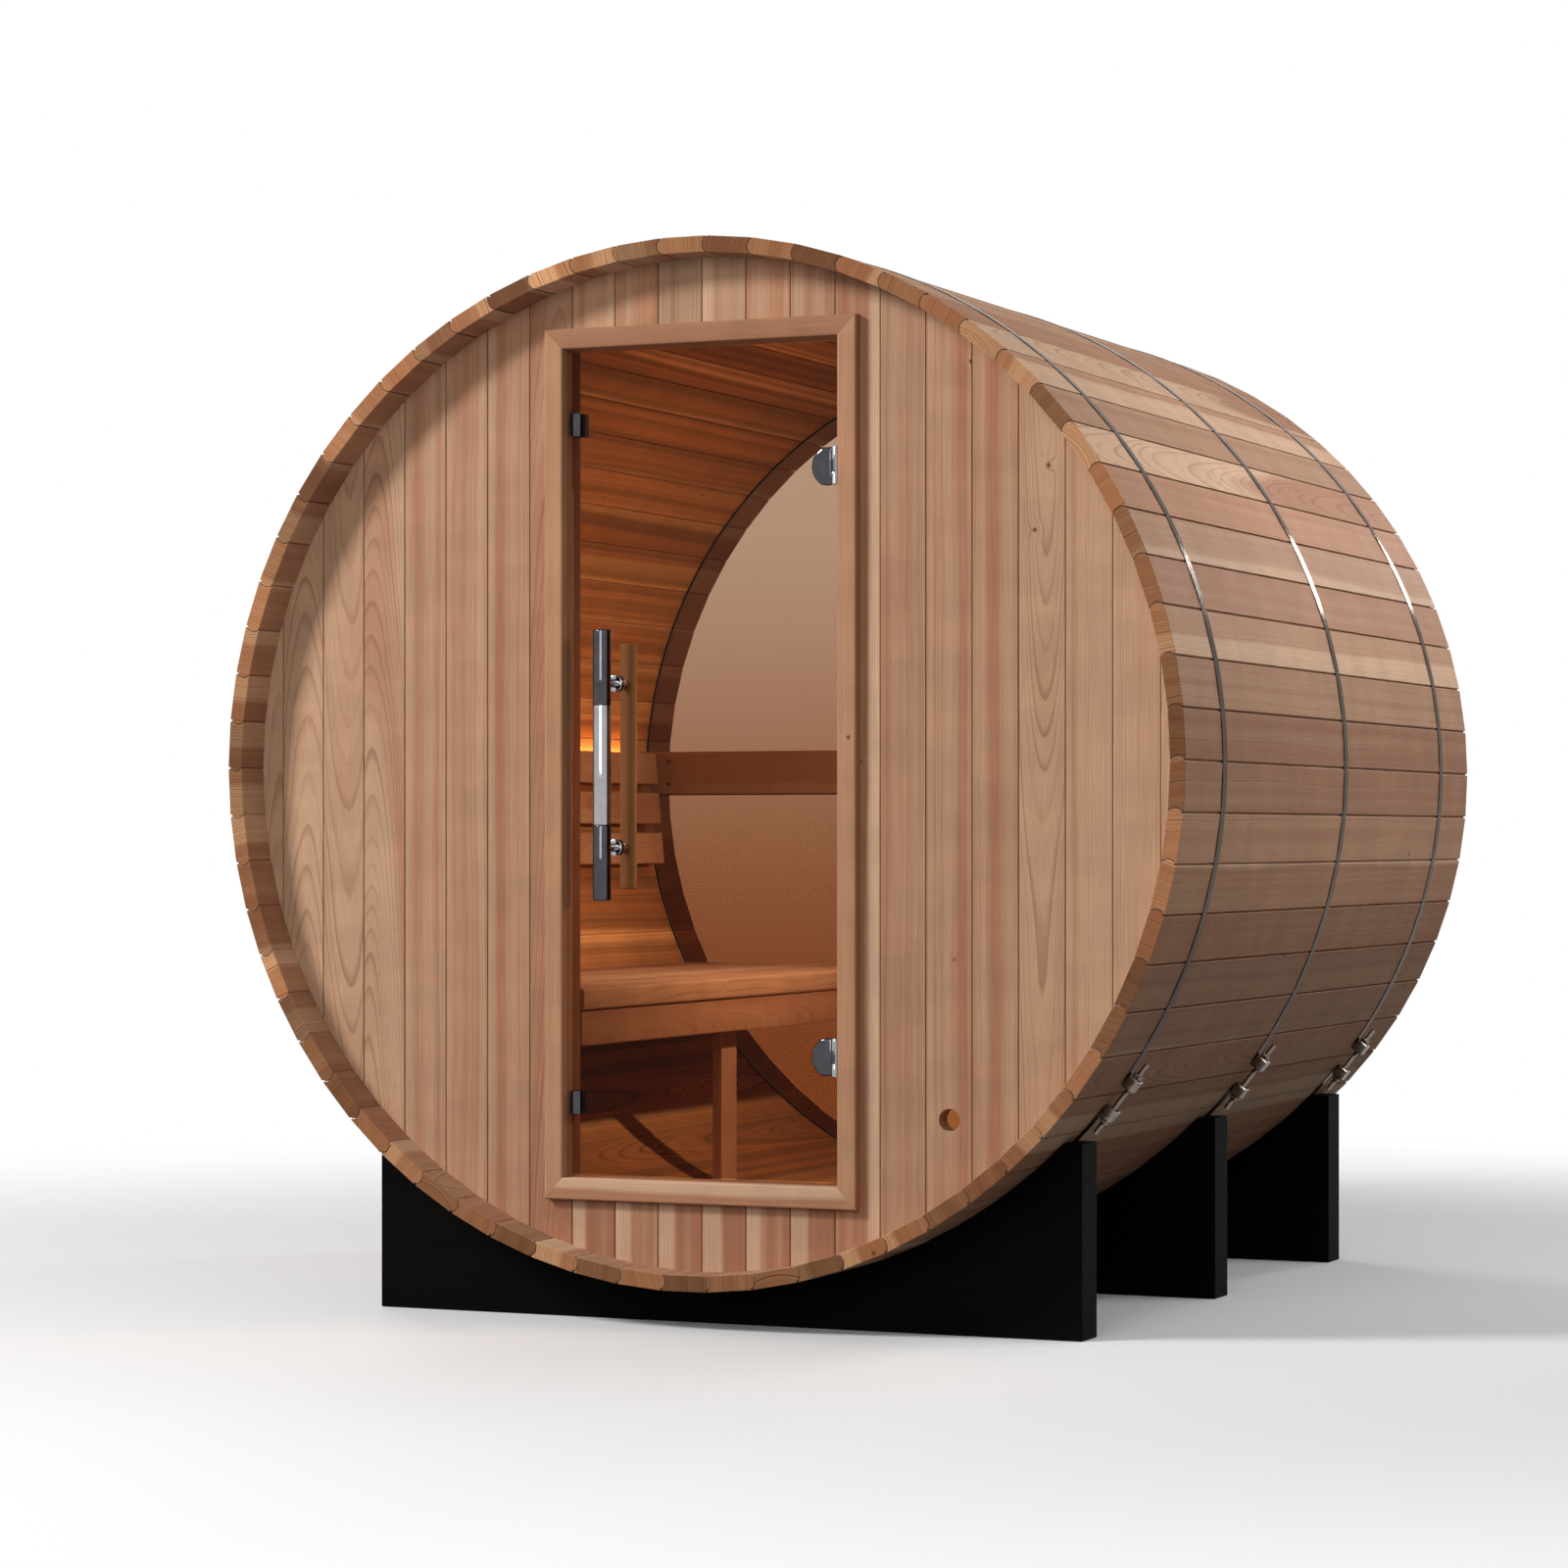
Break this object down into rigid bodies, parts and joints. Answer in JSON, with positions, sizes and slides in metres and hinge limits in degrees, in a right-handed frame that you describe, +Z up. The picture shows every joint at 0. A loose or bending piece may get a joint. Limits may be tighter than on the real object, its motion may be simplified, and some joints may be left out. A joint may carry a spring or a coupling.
{
  "type": "barrel sauna",
  "caption": "Barrel sauna of bead-and-cove cedar staves held by steel hoops on dark cradles, with a hinged tinted glass door, glazed rear end, side bench and backrest.",
  "frame": {"origin": "on the ground, under the middle of the barrel", "axes": "+X to the right as seen from the door, +Y from the door into the cabin along the barrel, +Z up"},
  "size_m": [1.8321, 1.8, 1.9012],
  "materials": {
    "stave_cedar": "bare planed cedar",
    "wall_cedar": "bare planed cedar",
    "casing_cedar": "bare planed cedar",
    "inner_cedar": "bare planed cedar",
    "black_timber": "black stain, matt",
    "hoop_steel": "brushed stainless",
    "chrome": "polished",
    "tinted_glass": "clear bronze tint",
    "black_plastic": "matt"
  },
  "bodies": {
    "sauna": {"staves_top": "stave_cedar", "staves_upper_right": "stave_cedar", "staves_lower_right": "stave_cedar", "staves_bottom": "stave_cedar", "staves_lower_left": "stave_cedar", "staves_upper_left": "stave_cedar", "hoop_front": "hoop_steel", "hoop_middle": "hoop_steel", "hoop_rear": "hoop_steel", "tensioner_front": "hoop_steel", "tensioner_middle": "hoop_steel", "tensioner_rear": "hoop_steel", "cradle_front": "black_timber", "cradle_middle": "black_timber", "cradle_rear": "black_timber", "front_wall_left": "wall_cedar", "front_wall_right": "wall_cedar", "front_wall_above_door": "wall_cedar", "front_wall_below_door": "wall_cedar", "door_jambs": "casing_cedar", "door_head": "casing_cedar", "door_sill": "casing_cedar", "casing_left": "casing_cedar", "casing_right": "casing_cedar", "casing_top": "casing_cedar", "casing_bottom": "casing_cedar", "hinge_brackets": "chrome", "catch_blocks": "black_plastic", "rear_glass_upper": "tinted_glass", "rear_glass_lower": "tinted_glass", "rear_rail": "inner_cedar", "bench_seat": "inner_cedar", "bench_fascia": "inner_cedar", "bench_leg": "inner_cedar", "backrest_slats": "inner_cedar", "backrest_battens": "inner_cedar"},
    "door": {"door_glass": "tinted_glass", "handle_outer": "chrome", "handle_inner": "inner_cedar", "hinge_plates": "chrome", "catch_clips": "chrome"}
  },
  "joints": [
    {"name": "door_hinge", "type": "hinge", "parent": "sauna", "child": "door", "pos_m": [0.2515, -0.8205, 0.985], "axis": [0, 0, 1], "range_deg": [0, 90]}
  ]
}
